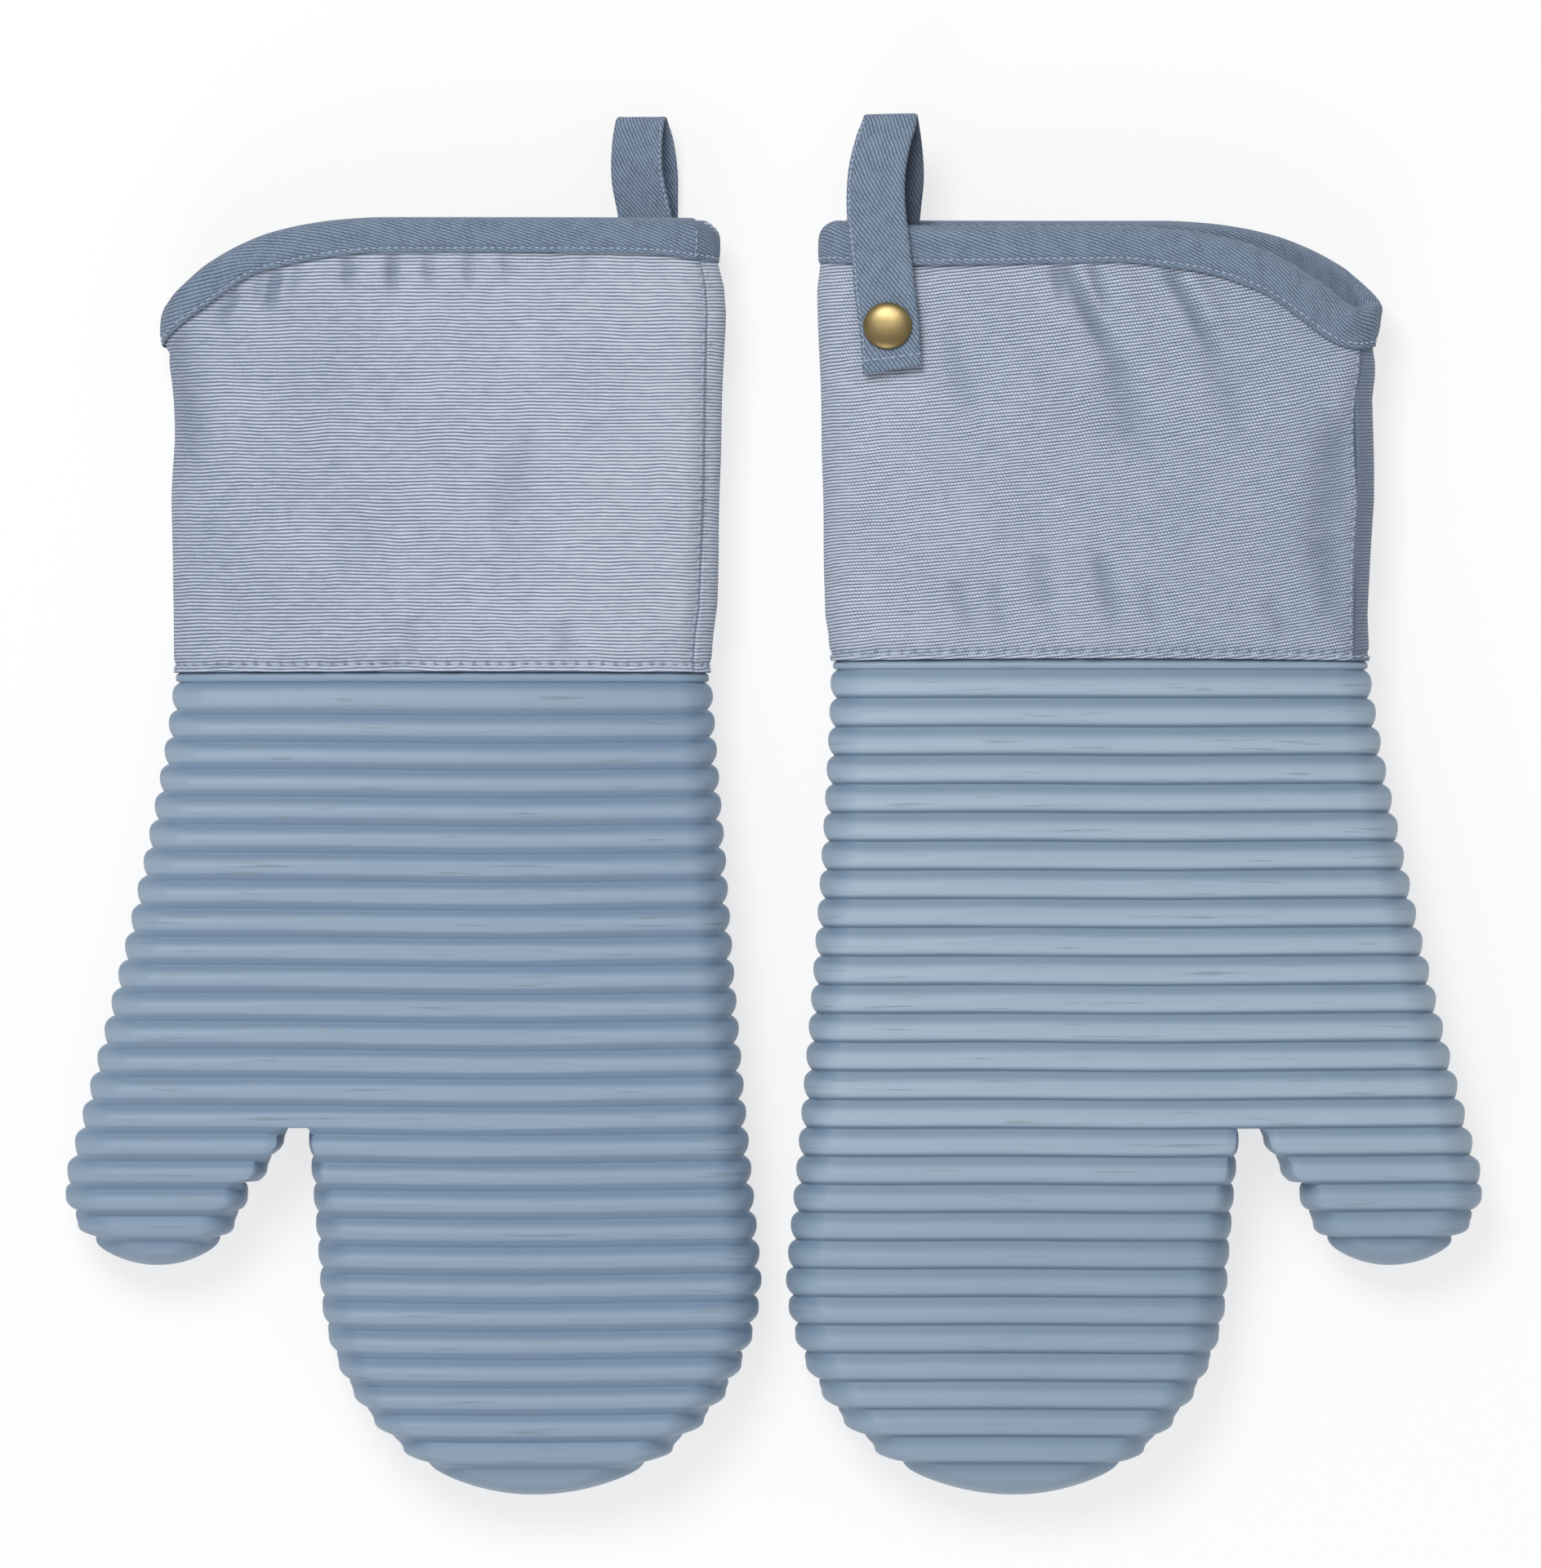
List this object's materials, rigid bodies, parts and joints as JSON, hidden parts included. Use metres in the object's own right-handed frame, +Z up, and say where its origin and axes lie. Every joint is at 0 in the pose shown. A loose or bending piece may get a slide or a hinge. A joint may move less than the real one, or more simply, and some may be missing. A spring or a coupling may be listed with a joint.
{
  "type": "oven mitts",
  "caption": "Pair of ribbed silicone oven mitts with padded cloth cuffs and hanging straps that open at a press stud, one front up and one turned over.",
  "frame": {"origin": "on the surface that the pair lies on, in the middle of the pair", "axes": "+X from the turned mitt to the mitt that lies front up, +Y from the fingers to the cuffs, +Z up out of the surface"},
  "size_m": [0.364, 0.3556, 0.033],
  "materials": {
    "silicone": "matte grey-blue silicone",
    "canvas": "coarse grey-blue woven canvas",
    "twill": "grey-blue cotton twill tape",
    "padding": "off-white batting",
    "lining": "plain grey-blue cotton",
    "brass": "antique brass, satin"
  },
  "bodies": {
    "right_mitt": {"right_silicone_shell": "silicone", "right_cuff_front_panel": "canvas", "right_cuff_back_panel": "canvas", "right_cuff_binding": "twill", "right_padding_front": "padding", "right_padding_back": "padding", "right_lining_front": "lining", "right_lining_back": "lining", "right_strap_back": "twill", "right_snap_stud": "brass", "right_snap_post": "brass"},
    "right_strap": {"right_strap_front": "twill", "right_snap_cap": "brass", "right_snap_socket": "brass"},
    "left_mitt": {"left_silicone_shell": "silicone", "left_cuff_front_panel": "canvas", "left_cuff_back_panel": "canvas", "left_cuff_binding": "twill", "left_padding_front": "padding", "left_padding_back": "padding", "left_lining_front": "lining", "left_lining_back": "lining", "left_strap_back": "twill", "left_snap_stud": "brass", "left_snap_post": "brass"},
    "left_strap": {"left_strap_front": "twill", "left_snap_cap": "brass", "left_snap_socket": "brass"}
  },
  "joints": [
    {"name": "right_strap_fold", "type": "hinge", "parent": "right_mitt", "child": "right_strap", "pos_m": [0.02988, 0.17605, 0.02422], "axis": [-0.995, 0, -0.1], "range_deg": [0, 150]},
    {"name": "left_mitt_lift", "type": "slide", "parent": "right_mitt", "child": "left_mitt", "axis": [0, 0, 1], "range_m": [0, 0.12]},
    {"name": "left_strap_fold", "type": "hinge", "parent": "left_mitt", "child": "left_strap", "pos_m": [-0.02988, 0.17605, 0.00878], "axis": [0.995, 0, 0.1], "range_deg": [0, 150]}
  ]
}
